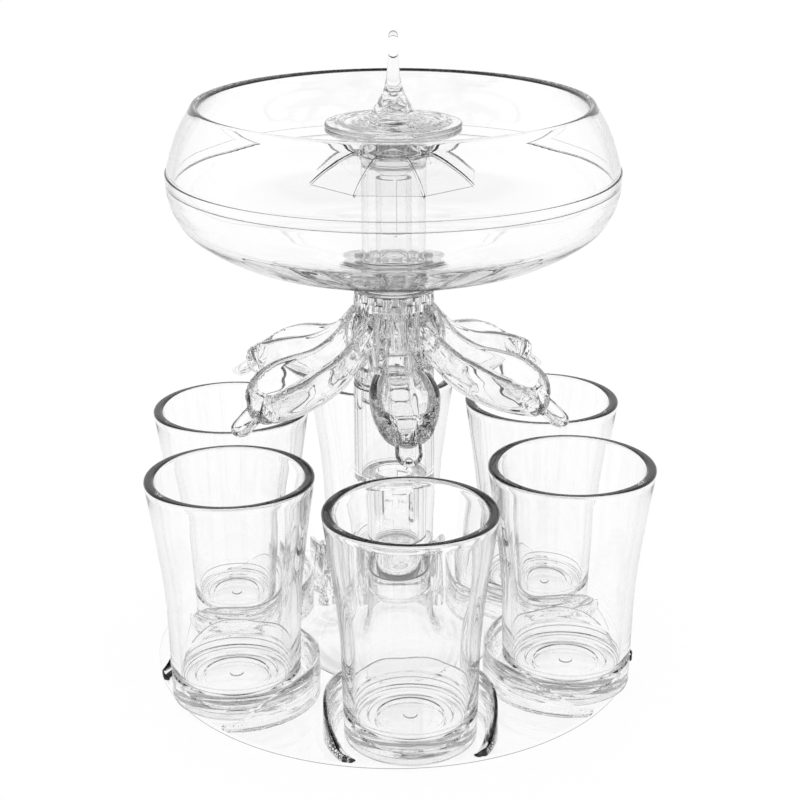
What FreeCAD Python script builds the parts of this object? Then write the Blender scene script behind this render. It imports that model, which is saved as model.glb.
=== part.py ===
# Party shot dispenser: a clear bowl on a splash-shaped hub feeds six open spout arms,
# one over each of six shot glasses standing in splash-shaped rings on a round tray.
# Two frothy splash crowns stand beside the back glass.
# Lifting the drop-shaped knob raises the stopper and lets the bowl drain to all six
# glasses at once. The whole upper part twists off the tray's post.
# Millimetres, +Z up, origin on the axis at the tray's underside, first glass at -Y.
import FreeCAD
import Part
import math
import os

os.makedirs("parts", exist_ok=True)
V = FreeCAD.Vector

# ---- driving sizes ----
N = 6                      # places round the tray
STEP = 360.0 / N
PITCH_R = 58.4             # glass centres from the axis
FIT = 0.10                 # radial running clearance
REST = 0.30                # gap under pieces that stand loose on others
SEAT = 0.02                # joint line between pieces of one body
EDGE = 0.5                 # small moulded edge radius

TRAY_R, TRAY_T = 75.6, 1.6

# shot glass
GLASS_H = 70.6
GLASS_RIM_R = 25.0         # rim, outside
GLASS_FOOT_R = 19.5
GLASS_WALL = 2.6
GLASS_FLOOR = 7.0          # thickness of the solid base
GLASS_Z = TRAY_T + REST
FOOT_GROOVE_Z, FOOT_GROOVE_W, FOOT_GROOVE_D = 8.9, 1.2, 0.5
FLOOR_STEP_R, FLOOR_STEP_D = 12.5, 0.7
UNDER_RIM_R, UNDER_STEP_R, UNDER_DOME_R = 16.6, 12.2, 9.8   # recess under the foot

# splash ring round each glass, open outwards
RING_R_IN, RING_R_OUT = 22.3, 25.5
RING_TIP_DEG = 49.0        # half of the opening
RING_H = 13.2              # highest crest above the tray

# splash crowns on both sides of the back glass
CROWN_DEG = (60.0, 120.0)  # their directions
CROWN_U = 35.6             # main peak's distance from the axis
CROWN_H = 21.0

# column: pedestal bell, its socket, the post that stands in it
BELL_WALL = 2.2
SOCKET_R, SOCKET_Z0, SOCKET_FLOOR = 10.7, 21.4, 1.1
BELL_TOP_Z = 30.2
NECK_R = 9.2
POST_R, POST_BORE_R = 10.7, 7.85
POST_FLOOR_Z, POST_Z1 = 38.3, 58.4
POST_ROUND = 3.0           # rounded shoulder of the post above its neck

# twist lock: two lugs in the post, two pockets with an entry in the spigot
LUG_Z, LUG_H, LUG_W, LUG_IN = 51.2, 2.2, 2.4, 1.5
LUG_AT = -112.4            # direction of the first lug
UNLOCK_DEG = 28.0          # twist that frees the head
POCKET_BACK_DEG = 22.0     # pocket behind the lug at rest
ENTRY_DEG = 51.0           # width of the entry beside the pocket
POCKET_Z0, POCKET_Z1 = 47.6, 57.9
ENTRY_Z1 = 55.4

# column sleeve with the spigot
SLEEVE_R, SLEEVE_R_IN = 12.4, 10.2
SLEEVE_Z0, SLEEVE_Z1 = 58.8, 89.9
SPIGOT_R = POST_BORE_R - FIT
SPIGOT_WALL = 1.75
SPIGOT_Z0 = 45.3
WEB_T = 2.2

# manifold hub
HUB_R, HUB_R_IN = 12.2, 9.8
HUB_Z0, HUB_Z1, HUB_FLOOR_T = 90.0, 119.4, 2.0
PLUG_H, PLUG_WALL = 5.0, 2.5
WIN_W, WIN_Z0, WIN_Z1 = 5.8, 95.6, 102.8

# spout arm: distance from the axis, half width, rim height, keel height
ARM = [(10.4, 5.9, 118.6, 97.2), (15.5, 6.1, 112.4, 95.2), (19.0, 6.4, 107.0, 91.8),
       (25.0, 7.4, 103.4, 88.8), (31.5, 9.0, 102.2, 87.0), (37.5, 10.1, 100.8, 86.2),
       (43.0, 9.6, 98.0, 86.0), (46.8, 8.3, 95.4, 86.2), (49.4, 6.2, 93.2, 86.8)]
CHANNEL_FLOOR = 3.0        # material under the channel
SPOON_U, SPOON_Z, SPOON_R, SPOON_WALL = 53.3, 87.0, 3.8, 1.5
DRIP_R = 1.3

# bowl
BOWL_T = 2.2
BOWL_R = 66.7
BOWL_BORE_R = 7.8
BOWL_SEAT_Z, BOWL_SEAT_R = 125.0, 16.4    # flat round the drain that the stopper closes
BOWL_SPIGOT_H = 5.2        # neck that plugs into the hub
LAP, LAP_CLEAR = 0.6, 0.05
SEAM_Z0, SEAM_Z1 = 154.2, 156.7
RIM_Z = 175.4
GASKET_T = 1.1

# plunger
GUIDE_R, GUIDE_BORE_R, GUIDE_Z1 = 5.3, 4.05, 153.8
GUIDE_SLOT_W, GUIDE_SLOT_Z0 = 1.1, 136.0
STEM_R, STEM_Z0 = GUIDE_BORE_R - FIT, 137.0
TUBE_R, TUBE_R_IN, TUBE_Z1 = 9.5, 7.8, 160.0
TUBE_BEAD, TUBE_CAP_T, TUBE_CAP_BORE_R = 0.45, 2.4, 5.25
STOP_R, STOP_T = 15.7, 1.2
SEAL_T = 1.2
CANOPY_R, CANOPY_SAG, CANOPY_T = 25.7, 9.0, 0.9
CANOPY_CROWN = 2.4         # canopy's top above the tube it sits on
CANOPY_FLAT_DROP = 1.3     # flat underside below the tube's top
CANOPY_CURVE = 2.8         # how late the gores bend down
CANOPY_TURN = -7.4         # the canopy's corners against the glasses
COLLAR_R, COLLAR_NECK_R, COLLAR_BORE_R = 11.0, 5.2, 6.1
COLLAR_GAP, COLLAR_H = 0.1, 4.7
COLLAR_STEM_Z0 = 156.0
SOCKET_DROP = 3.65         # knob's spigot below the disc
DISC_R, DISC_LAYER = 20.1, 1.35
KNOB_TOP = 196.1
KNOB_SPIGOT_R, KNOB_HOLLOW_R = 6.0, 4.4
KNOB_HOLLOW_TOP_R, KNOB_HOLLOW_Z = 2.4, 177.7

# heights that follow
GLASS_GROOVE_R = GLASS_FOOT_R - FOOT_GROOVE_D
POST_Z0 = BELL_TOP_Z + REST
CANOPY_TOP = TUBE_Z1 + CANOPY_CROWN
COLLAR_Z0 = CANOPY_TOP + COLLAR_GAP
COLLAR_Z1 = COLLAR_Z0 + COLLAR_H


# ---- helpers ----
def save(shape, name):
    if shape.ShapeType == "Compound" and len(shape.Solids) == 1:
        shape = shape.Solids[0]
    print("%-18s solids %d valid %s volume %.0f" % (
        name, len(shape.Solids), shape.isValid(), shape.Volume))
    shape.exportStep("parts/%s.step" % name)


def cyl(r, z0, z1, x=0.0, y=0.0):
    return Part.makeCylinder(r, z1 - z0, V(x, y, z0))


def tube(r1, r0, z0, z1):
    return cyl(r1, z0, z1).cut(cyl(r0, z0 - 1, z1 + 1))


def box(x0, x1, y0, y1, z0, z1):
    return Part.makeBox(x1 - x0, y1 - y0, z1 - z0, V(x0, y0, z0))


def level_edges(shape, z_below=math.inf):
    """Edges that lie in a level plane below the given height."""
    return [e for e in shape.Edges if abs(e.BoundBox.ZLength) < 1e-6 and e.BoundBox.ZMin < z_below]


def edge(pts):
    """A straight line for two (r, z) points, a smooth curve for more."""
    vs = [V(r, 0, z) for r, z in pts]
    if len(vs) == 2:
        return Part.makeLine(vs[0], vs[1])
    curve = Part.BSplineCurve()
    curve.interpolate(vs)
    return curve.toShape()


def lathe(*runs):
    """Solid of revolution from runs of (r, z) points, each starting where the last ended."""
    edges, here = [], runs[0][0]
    for run in runs:
        pts = list(run) if tuple(run[0]) == tuple(here) else [here] + list(run)
        if len(pts) > 1:
            edges.append(edge(pts))
        here = pts[-1]
    if tuple(here) != tuple(runs[0][0]):
        edges.append(edge([here, runs[0][0]]))
    face = Part.Face(Part.Wire(edges))
    solid = face.revolve(V(0, 0, 0), V(0, 0, 1), 360)
    if solid.Volume < 0:
        solid.reverse()
    return Part.Solid(solid.Shells[0]) if solid.ShapeType != "Solid" else solid


def offset(pts, d):
    """The same curve moved sideways by d, to the left of its direction."""
    out = []
    for i, (r, z) in enumerate(pts):
        r0, z0 = pts[max(i - 1, 0)]
        r1, z1 = pts[min(i + 1, len(pts) - 1)]
        k = math.hypot(r1 - r0, z1 - z0)
        out.append((r - (z1 - z0) / k * d, z + (r1 - r0) / k * d))
    return out


def turned(shape, deg):
    s = shape.copy()
    s.rotate(V(0, 0, 0), V(0, 0, 1), deg)
    return s


def at_place(shape, i):
    """From the +X working direction to place i, the first one at -Y."""
    return turned(shape, -90 + i * STEP)


def sector(deg0, deg1, z0, z1, r=12.0):
    """A wedge between two directions, used to cut slots into tubes."""
    return turned(Part.makeCylinder(r, z1 - z0, V(0, 0, z0), V(0, 0, 1), deg1 - deg0), deg0)


# ---- tray ----
tray = cyl(TRAY_R, 0, TRAY_T)
save(tray.makeFillet(EDGE, level_edges(tray)), "tray")

# ---- pedestal: a hollow bell on the tray with a socket for the post's neck ----
BELL = [(3.7, 28.6), (3.9, 23.9), (4.6, 16.4), (6.3, 9.4), (10.7, 4.0), (16.7, 1.3), (21.2, 0.6)]
bell = [(NECK_R + r, TRAY_T + z) for r, z in BELL]      # from the neck outwards and down
inner = [(r - BELL_WALL, z - BELL_WALL / 2) for r, z in bell[1:5]] + [(bell[-1][0] - 5.8, TRAY_T)]
ceiling_z = BELL_TOP_Z - BELL_WALL
pedestal = lathe([(bell[0][0], BELL_TOP_Z)] + bell[1:], [(bell[-1][0], TRAY_T)], [inner[-1]], inner[::-1],
                 [(inner[0][0], ceiling_z)], [(NECK_R + FIT, ceiling_z)], [(NECK_R + FIT, BELL_TOP_Z)])
socket = tube(SOCKET_R, NECK_R + FIT, SOCKET_Z0, ceiling_z + 0.2)
socket = socket.fuse(cyl(SOCKET_R, SOCKET_Z0, SOCKET_Z0 + SOCKET_FLOOR))
save(pedestal.fuse(socket).removeSplitter(), "pedestal")

# ---- post: closed tube with two inward lugs, its neck plugged into the pedestal ----
neck_z0 = SOCKET_Z0 + SOCKET_FLOOR + REST / 2
post = lathe([(0, neck_z0)], [(NECK_R, neck_z0)], [(NECK_R, POST_Z0)],
             [(NECK_R, POST_Z0), (POST_R - 0.17 * POST_ROUND, POST_Z0 + 0.3 * POST_ROUND),
              (POST_R, POST_Z0 + POST_ROUND)],
             [(POST_R, POST_Z1)], [(POST_BORE_R, POST_Z1)], [(POST_BORE_R, POST_FLOOR_Z)],
             [(0, POST_FLOOR_Z)])
for side in (0, 180):
    lug = box(POST_BORE_R - LUG_IN, POST_BORE_R + EDGE, -LUG_W / 2, LUG_W / 2, LUG_Z, LUG_Z + LUG_H)
    post = post.fuse(turned(lug, LUG_AT + side))
save(post, "post")

# ---- column sleeve: outer tube, web and the spigot with its two pockets and entries ----
sleeve = tube(SLEEVE_R, SLEEVE_R_IN, SLEEVE_Z0, SLEEVE_Z1)
web = tube(SLEEVE_R, SPIGOT_R - SPIGOT_WALL, SLEEVE_Z0, SLEEVE_Z0 + WEB_T)
spigot = tube(SPIGOT_R, SPIGOT_R - SPIGOT_WALL, SPIGOT_Z0, SLEEVE_Z0 + WEB_T / 2)
mouth_deg = UNLOCK_DEG - math.degrees(LUG_W / SPIGOT_R)    # past it the whole lug is in the entry
for side in (0, 180):
    at = LUG_AT + side
    # at rest the lug waits in the pocket, and the unlocking twist brings the entry to it
    spigot = spigot.cut(sector(at - POCKET_BACK_DEG, at + mouth_deg, POCKET_Z0, POCKET_Z1))
    spigot = spigot.cut(sector(at + mouth_deg - 0.01, at + mouth_deg + ENTRY_DEG, SPIGOT_Z0 - 1, ENTRY_Z1))
save(sleeve.fuse(web).fuse(spigot).removeSplitter(), "column_sleeve")

# ---- manifold hub: chamber under the bowl with one window per arm ----
hub_floor_z = HUB_Z0 + HUB_FLOOR_T
guide_z0 = hub_floor_z - 0.6 * HUB_FLOOR_T
hub = cyl(HUB_R, HUB_Z0, HUB_Z1).cut(cyl(HUB_R_IN, hub_floor_z, HUB_Z1 + 1))
plug_r = SLEEVE_R_IN - FIT
hub = hub.fuse(tube(plug_r, plug_r - PLUG_WALL, HUB_Z0 - PLUG_H, HUB_Z0 + EDGE))
hub = hub.cut(cyl(GUIDE_R + SEAT, guide_z0, HUB_Z1))
for i in range(N):
    window = box(HUB_R_IN - 1.5, HUB_R + 1, -WIN_W / 2, WIN_W / 2, WIN_Z0, WIN_Z1)
    hub = hub.cut(at_place(window, i))
save(hub, "manifold_hub")


# ---- spout arms: deep open boats from the hub window to a drip spoon over each glass ----
def leaf_section(u, w, top, keel):
    """Closed D across the arm: a straight top and one curve down round the keel."""
    low = [V(u, w * math.cos(t), top - (top - keel) * math.sin(t) ** 0.8)
           for t in [math.pi * k / 8 for k in range(9)]]
    low[-1].z = top
    curve = Part.BSplineCurve()
    curve.interpolate(low)
    return Part.Wire([curve.toShape(), Part.makeLine(low[-1], low[0])])


def channel_section(u, w, top, keel):
    """The channel's section: about half as wide as the arm, open above the rims."""
    return leaf_section(u, 0.52 * w + 0.3, top + 2.0, keel + CHANNEL_FLOOR)


def arm_solid():
    hull = Part.makeLoft([leaf_section(*s) for s in ARM], True, False)
    cut = [channel_section(*s) for s in ARM[:-2]]
    u, w, top, keel = ARM[-2]
    cut.append(channel_section(u - 0.6, w * 0.62, top, keel + 0.4))
    hull = hull.cut(Part.makeLoft(cut, True, False))
    start, tip = V(u, 0, top - 4.4), V(SPOON_U, 0, SPOON_Z)
    run = tip.sub(start)
    spoon = Part.makeCylinder(SPOON_R, run.Length, start, run)
    spoon = spoon.fuse(Part.makeSphere(SPOON_R, tip))
    groove = Part.makeCylinder(SPOON_R - SPOON_WALL, run.Length + 0.6, start.add(V(0, 0, 0.9)), run)
    groove = groove.fuse(groove.translated(V(0.3, 0, 1.6)))
    throat = box(HUB_R - 1, ARM[2][0] - 2, -WIN_W / 2, WIN_W / 2, WIN_Z0 + 0.4, WIN_Z1)
    solid = hull.cut(throat).fuse(spoon).cut(groove)
    solid = solid.cut(cyl(DRIP_R, SPOON_Z - 6, SPOON_Z + 2, SPOON_U))
    return solid.cut(cyl(HUB_R + SEAT, HUB_Z0 - 10, HUB_Z1 + 5))


arm = sorted(arm_solid().Solids, key=lambda s: -s.Volume)[0]
for i in range(N):
    save(at_place(arm, i), "spout_arm_%d" % (i + 1))

# ---- bowl: two moulded halves lapped at the widest line ----
bowl_neck_r = HUB_R_IN - FIT
gasket_z0 = HUB_Z1 + SEAT
shoulder_z = gasket_z0 + GASKET_T
low_out = [(12.0, 121.0), (14.0, 122.0), (20.0, 124.2), (31.8, 127.9), (44.0, 131.2), (52.6, 134.6),
           (61.3, 140.4), (65.0, 146.2), (BOWL_R - 0.1, 151.0), (BOWL_R, SEAM_Z0)]
lap_r, lap_z = BOWL_R - LAP - LAP_CLEAR, SEAM_Z0 - LAP
low_in = [(BOWL_SEAT_R, BOWL_SEAT_Z)] + [p for p in offset(low_out, BOWL_T)[2:-1] if p[0] > BOWL_SEAT_R + 2]
low_in.append((BOWL_R - BOWL_T, lap_z))
bowl_lower = lathe([(BOWL_BORE_R, HUB_Z1 - BOWL_SPIGOT_H)], [(bowl_neck_r, HUB_Z1 - BOWL_SPIGOT_H)],
                   [(bowl_neck_r, shoulder_z)], [(low_out[0][0], shoulder_z)], [low_out[0]], low_out,
                   [(BOWL_R, SEAM_Z1)], [(lap_r + LAP_CLEAR, SEAM_Z1)], [(lap_r + LAP_CLEAR, lap_z)],
                   [low_in[-1]], low_in[::-1], [(BOWL_BORE_R, BOWL_SEAT_Z)])
save(bowl_lower, "bowl_lower")

up_z0 = SEAM_Z1 + LAP_CLEAR
up_out = [(BOWL_R - 0.5, up_z0), (65.4, 160.6), (63.9, 165.2), (62.0, 169.6), (59.5, 173.6)]
up_in = offset(up_out, BOWL_T)
up_in[0] = (up_out[0][0] - BOWL_T, up_z0)
bowl_upper = lathe([(lap_r, lap_z + LAP_CLEAR)], [(lap_r, up_z0)], [up_out[0]], up_out,
                   [up_out[-1], (59.0, RIM_Z - 0.6), (58.1, RIM_Z), (57.2, RIM_Z - 0.7), up_in[-1]],
                   up_in[::-1], [(up_in[0][0], lap_z + LAP_CLEAR)])
save(bowl_upper, "bowl_upper")

save(tube(low_out[0][0], HUB_R_IN + LAP_CLEAR, gasket_z0, shoulder_z - SEAT), "neck_gasket")

# ---- guide tube: fixed in the hub, slotted, carries the plunger's stem ----
guide = tube(GUIDE_R, GUIDE_BORE_R, guide_z0 + SEAT, GUIDE_Z1)
slot = box(-GUIDE_SLOT_W / 2, GUIDE_SLOT_W / 2, -GUIDE_R - 1, 0, GUIDE_SLOT_Z0, GUIDE_Z1 + 1)
save(guide.cut(slot), "guide_tube")

# ---- plunger: tube with stopper flange, seal, stem, canopy, collar and knob ----
seal_z0 = BOWL_SEAT_Z + REST
stop_z0 = seal_z0 + SEAL_T + SEAT
stop_z1 = stop_z0 + STOP_T
cap_z0 = TUBE_Z1 - TUBE_CAP_T
bead_r, bead_z0 = TUBE_R + TUBE_BEAD, TUBE_Z1 - STOP_T
ptube = lathe([(TUBE_R_IN, stop_z0)], [(STOP_R, stop_z0)], [(STOP_R, stop_z1)], [(TUBE_R + 0.9, stop_z1)],
              [(TUBE_R + 0.9, stop_z1), (TUBE_R + 0.25, stop_z1 + 0.4), (TUBE_R, stop_z1 + 1.4)],
              [(TUBE_R, bead_z0 - 0.2)], [(bead_r, bead_z0)], [(bead_r, TUBE_Z1)],
              [(TUBE_CAP_BORE_R, TUBE_Z1)], [(TUBE_CAP_BORE_R, cap_z0)], [(TUBE_R_IN, cap_z0)])
save(ptube, "plunger_tube")

seal = tube(STOP_R - EDGE, TUBE_R + REST, seal_z0, seal_z0 + SEAL_T)
save(seal.makeFillet(0.4, level_edges(seal, seal_z0 + 0.1)), "stopper_seal")

collar_seat_z = COLLAR_Z1 - SOCKET_DROP
stem = cyl(STEM_R, STEM_Z0, collar_seat_z - 0.02)
save(stem.makeChamfer(0.8, level_edges(stem, STEM_Z0 + 0.1)), "plunger_stem")

apothem = CANOPY_R * math.cos(math.pi / 8)
flat_z = TUBE_Z1 - CANOPY_FLAT_DROP


def canopy_z(t):
    """Height of the canopy's top at distance t from the axis, across a gore."""
    return CANOPY_TOP - CANOPY_SAG * (t / apothem) ** CANOPY_CURVE


flat_t = apothem * ((CANOPY_TOP - CANOPY_T - flat_z) / CANOPY_SAG) ** (1 / CANOPY_CURVE)
top = [(t, canopy_z(t)) for t in [apothem * k / 10 for k in range(11)]]
low = [(t, canopy_z(t) - CANOPY_T) for t in [flat_t + (apothem - flat_t) * k / 5 for k in range(6)]]
gore = Part.Face(Part.Wire([edge(top), edge([top[-1], low[-1]]), edge(low[::-1]),
                            edge([low[0], (0, flat_z)]), edge([(0, flat_z), top[0]])]))
reach = 1.6 * CANOPY_R
gore = gore.extrude(V(0, reach, 0)).translated(V(0, -reach / 2, 0))
wedge_w = reach * math.tan(math.pi / 8)
wedge_z = canopy_z(apothem) - 2 * CANOPY_T - 10
wedge = Part.Face(Part.makePolygon([V(0, 0, wedge_z), V(reach, -wedge_w, wedge_z), V(reach, wedge_w, wedge_z),
                                    V(0, 0, wedge_z)])).extrude(V(0, 0, reach))
gore = gore.common(wedge)
canopy = turned(gore, -90 + CANOPY_TURN)
for k in range(1, 8):
    canopy = canopy.fuse(turned(gore, -90 + CANOPY_TURN + 45 * k))
canopy = canopy.removeSplitter().cut(cyl(TUBE_CAP_BORE_R, wedge_z, CANOPY_TOP + 1))
save(canopy.cut(cyl(TUBE_R + 1, wedge_z, TUBE_Z1 + SEAT)), "canopy")

foot_r = COLLAR_R - 2.2
collar = lathe([(STEM_R + SEAT, COLLAR_STEM_Z0)], [(COLLAR_NECK_R, COLLAR_STEM_Z0)], [(COLLAR_NECK_R, COLLAR_Z0)],
               [(foot_r, COLLAR_Z0)],
               [(foot_r, COLLAR_Z0), (COLLAR_R - 1.8, COLLAR_Z0 + 0.8), (COLLAR_R - 0.7, COLLAR_Z0 + 1.6),
                (COLLAR_R, COLLAR_Z0 + 2.7)],
               [(COLLAR_R, COLLAR_Z1)], [(COLLAR_BORE_R, COLLAR_Z1)], [(COLLAR_BORE_R, collar_seat_z)],
               [(STEM_R + SEAT, collar_seat_z)])
save(collar, "knob_collar")

# the knob's disc is two stacked layers with round edges, then ripples, then the rising drop
z = COLLAR_Z1 + SEAT
spigot_z0 = collar_seat_z + SEAT
mid_z, top_z = z + DISC_LAYER, z + 2 * DISC_LAYER + 0.05
RIPPLES = [(16.4, 0.0), (14.6, 0.6), (12.8, 0.1), (11.0, 0.5), (9.0, 1.3), (7.4, 2.0), (6.2, 3.2), (4.3, 6.1),
           (3.0, 9.0), (2.15, 12.0), (1.75, 15.5), (1.45, 19.0), (1.42, 21.5), (1.5, 23.6), (1.2, 25.3),
           (0.5, 26.0)]
knob = lathe([(0, spigot_z0)], [(KNOB_SPIGOT_R, spigot_z0)], [(KNOB_SPIGOT_R, z)], [(DISC_R - 1.0, z)],
             [(DISC_R - 1.0, z), (DISC_R - 0.15, z + 0.35), (DISC_R - 0.15, mid_z - 0.35), (DISC_R - 0.8, mid_z)],
             [(DISC_R - 0.8, mid_z), (DISC_R, mid_z + 0.45), (DISC_R - 0.3, top_z - 0.3), (DISC_R - 1.6, top_z)],
             [(DISC_R - 1.6, top_z)] + [(r, KNOB_TOP - 26.1 + h) for r, h in RIPPLES], [(0, KNOB_TOP)])
hollow = lathe([(0, spigot_z0 - 1)], [(KNOB_HOLLOW_R, spigot_z0 - 1)],
               [(KNOB_HOLLOW_R, spigot_z0 - 1), (KNOB_HOLLOW_R - 0.2, 169.0), (KNOB_HOLLOW_R - 1.1, 172.5),
                (KNOB_HOLLOW_TOP_R + 0.2, 175.6), (KNOB_HOLLOW_TOP_R, KNOB_HOLLOW_Z - 0.5)],
               [(KNOB_HOLLOW_TOP_R - 0.5, KNOB_HOLLOW_Z)], [(0, KNOB_HOLLOW_Z)])
save(knob.cut(hollow), "knob")

# ---- shot glasses: flared tumblers with a thick grooved base ----
g = GLASS_Z
groove_z1 = FOOT_GROOVE_Z + FOOT_GROOVE_W
FLARE = [(0.25, groove_z1 + 0.8), (0.35, 20.0), (0.65, 30.0), (1.4, 40.0), (2.7, 51.0), (4.3, 62.0),
         (5.35, GLASS_H - 2.0)]
out = [(GLASS_FOOT_R + r, g + h) for r, h in FLARE]
lip_in = GLASS_RIM_R - GLASS_WALL - 0.1
lip_z = out[-1][1]
ins = [(r - GLASS_WALL, h) for r, h in out[1:-1]]
ins = [(GLASS_FOOT_R - 4.1, g + GLASS_FLOOR), (GLASS_FOOT_R - 2.9, g + GLASS_FLOOR + 1.2)] + ins
step_z = g + GLASS_FLOOR - FLOOR_STEP_D
glass = lathe([(UNDER_STEP_R, g + 0.6)], [(UNDER_RIM_R - 0.2, g + 0.6)], [(UNDER_RIM_R + 0.3, g)],
              [(GLASS_FOOT_R - 0.8, g)],
              [(GLASS_FOOT_R - 0.8, g), (GLASS_FOOT_R - 0.2, g + 0.25), (GLASS_FOOT_R, g + 0.9)],
              [(GLASS_FOOT_R + 0.05, g + FOOT_GROOVE_Z - 0.5)], [(GLASS_GROOVE_R, g + FOOT_GROOVE_Z)],
              [(GLASS_GROOVE_R, g + groove_z1)], [out[0]], out,
              [out[-1], (GLASS_RIM_R, g + GLASS_H - 0.9), (GLASS_RIM_R - 0.6, g + GLASS_H - 0.15),
               (GLASS_RIM_R - 1.5, g + GLASS_H), (GLASS_RIM_R - 2.5, g + GLASS_H - 0.4), (lip_in, lip_z)],
              [(lip_in, lip_z)] + ins[::-1], [(FLOOR_STEP_R, g + GLASS_FLOOR)], [(FLOOR_STEP_R - 0.4, step_z)],
              [(0, step_z)], [(0, g + 2.2)], [(UNDER_DOME_R, g + 2.2)], [(UNDER_DOME_R + 0.6, g + 1.6)],
              [(UNDER_STEP_R - 0.4, g + 1.6)])
glass.translate(V(PITCH_R, 0, 0))
for i in range(N):
    save(at_place(glass, i), "shot_glass_%d" % (i + 1))

# ---- splash rings: C-shaped walls, high towards the column, falling to drops at the tray edge ----
# degrees round the glass from the outward direction, share of the crest height
WALL = [(RING_TIP_DEG, 0.18), (55, 0.205), (61, 0.26), (67, 0.39), (75, 0.59), (86, 0.77), (98, 0.91),
        (115, 0.985), (140, 0.94), (160, 1.0), (180, 0.955)]


def wall_section(deg, share):
    a = math.radians(deg)
    h = share * RING_H
    lean = 0.06 * h
    thin = min(1.0, h / 6.0)
    mid = (RING_R_IN + RING_R_OUT) / 2
    prof = [(RING_R_IN + 0.4 * (1 - thin), 0.0), (RING_R_OUT - 0.5 * (1 - thin), 0.0),
            (mid + 1.1 + lean * 0.3, h * 0.55), (mid + 0.55 + lean, h), (mid - 0.75 + lean, h),
            (RING_R_IN + 0.3, h * 0.5)]
    pts = [V(PITCH_R + r * math.cos(a), r * math.sin(a), TRAY_T + z) for r, z in prof]
    return Part.makePolygon(pts + [pts[0]])


half_wall = Part.makeLoft([wall_section(*w) for w in WALL], True, False)
ring = half_wall.fuse(half_wall.mirror(V(0, 0, 0), V(0, 1, 0))).removeSplitter()
ring = ring.common(cyl(TRAY_R + 0.8, 0, 60))
for i in range(N):
    save(at_place(ring, i), "splash_ring_%d" % (i + 1))

# ---- splash crowns: pointed water shapes between the back glass and its neighbours ----
# from the main peak: distance outwards, sideways, base radius, share of the height, lean outwards
PEAKS = [(0.0, 0.3, 3.7, 1.0, 0.0), (-1.4, 4.6, 2.2, 0.62, -0.2), (-1.2, -4.7, 2.2, 0.76, -0.2),
         (3.5, -0.3, 2.8, 0.9, 0.5), (6.9, 0.0, 2.5, 0.84, 0.8), (9.8, 0.0, 2.3, 0.76, 0.8)]
DROPS = [(1.6, 3.4, 1.2), (2.0, -3.4, 1.3)]


def crown_solid():
    parts = []
    for u, v, w, share, lean in PEAKS:
        h = share * CROWN_H
        rows = []
        for k in range(5):
            t = k / 4.0
            r = w * (1 - t) ** 0.7 + 0.5
            circle = Part.makeCircle(r, V(CROWN_U + u + lean * t, v, TRAY_T + h * t), V(0, 0, 1))
            rows.append(Part.Wire([circle]))
        parts.append(Part.makeLoft(rows, True, False))
    base = box(CROWN_U - 20, CROWN_U + 20, -12, 12, TRAY_T, TRAY_T + CROWN_H)
    for u, v, r in DROPS:
        parts.append(Part.makeSphere(r, V(CROWN_U + u, v, TRAY_T + r * 0.9)).common(base))
    return parts[0].multiFuse(parts[1:]).removeSplitter()


crown = crown_solid()
for i, direction in enumerate(CROWN_DEG):
    save(turned(crown, direction), "splash_crown_%d" % (i + 1))
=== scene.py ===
# %% [markdown]
# # Party shot dispenser
#
# This lesson dresses a clear acrylic drink dispenser: a wide bowl on a splash-shaped hub, six open
# spout arms, six shot glasses and a round tray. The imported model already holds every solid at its
# real size, so each new mesh stands exactly where its solid is and rides on the same body.
# Clear plastic shows every fault of a mesh, because light bends at each face. So every solid gets
# a new mesh here: finely turned, closed, and with rounded edges like a polished moulding.

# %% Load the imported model
import math

import bmesh
import bpy
import numpy as np
from mathutils import Matrix, Vector, noise


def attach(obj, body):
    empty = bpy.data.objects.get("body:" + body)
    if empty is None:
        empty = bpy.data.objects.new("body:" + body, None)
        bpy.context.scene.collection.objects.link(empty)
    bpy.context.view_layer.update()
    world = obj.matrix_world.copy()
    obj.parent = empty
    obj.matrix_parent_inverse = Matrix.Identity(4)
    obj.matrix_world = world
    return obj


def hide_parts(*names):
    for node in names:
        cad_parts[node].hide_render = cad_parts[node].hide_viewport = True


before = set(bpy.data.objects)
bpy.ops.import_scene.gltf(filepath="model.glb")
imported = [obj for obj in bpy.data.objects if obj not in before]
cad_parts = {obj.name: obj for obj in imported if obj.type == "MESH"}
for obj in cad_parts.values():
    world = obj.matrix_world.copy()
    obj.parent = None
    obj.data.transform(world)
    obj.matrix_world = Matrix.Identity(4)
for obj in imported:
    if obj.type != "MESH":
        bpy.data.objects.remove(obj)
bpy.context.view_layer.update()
MM = 0.001

# %% [markdown]
# ## Two small tools: a rounded outline and a lathe
#
# Most pieces of this dispenser are turned shapes: mouldings whose edges carry a small radius. The
# Screw modifier could turn them, but rings that we write ourselves give closed solids with poles on
# the axis and no doubled points. An outline is a list of corners (radius, height, fillet). Each
# fillet becomes a short arc with one extra point on either side, so that the flat next to it shades
# as flat. In clear plastic a flat that shades as a curve bends the picture behind it.

# %% Round one corner


def arc_points(before, corner, after, fillet, steps=5):
    """The corner replaced by an arc of the given radius, with a support point on either side."""
    a, b = Vector(before) - Vector(corner), Vector(after) - Vector(corner)
    turn = math.pi - a.angle(b)
    cut = min(fillet * math.tan(turn / 2), a.length * 0.45, b.length * 0.45)
    radius = cut / math.tan(turn / 2)
    a.normalize()
    b.normalize()
    start, end = Vector(corner) + a * cut, Vector(corner) + b * cut
    middle = (a + b).normalized() * (radius / math.cos(turn / 2)) + Vector(corner)
    spoke0, spoke1 = start - middle, end - middle
    points = [start + a * cut * 0.35]
    for k in range(steps + 1):
        t = k / steps
        spoke = spoke0 * (1 - t) + spoke1 * t
        points.append(middle + spoke.normalized() * radius)
    points.append(end + b * cut * 0.35)
    return [tuple(p) for p in points]


print("a right angle becomes", len(arc_points((0, 0), (9, 0), (9, 5), 1)), "points")

# %% Outlines and smooth curves


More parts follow.
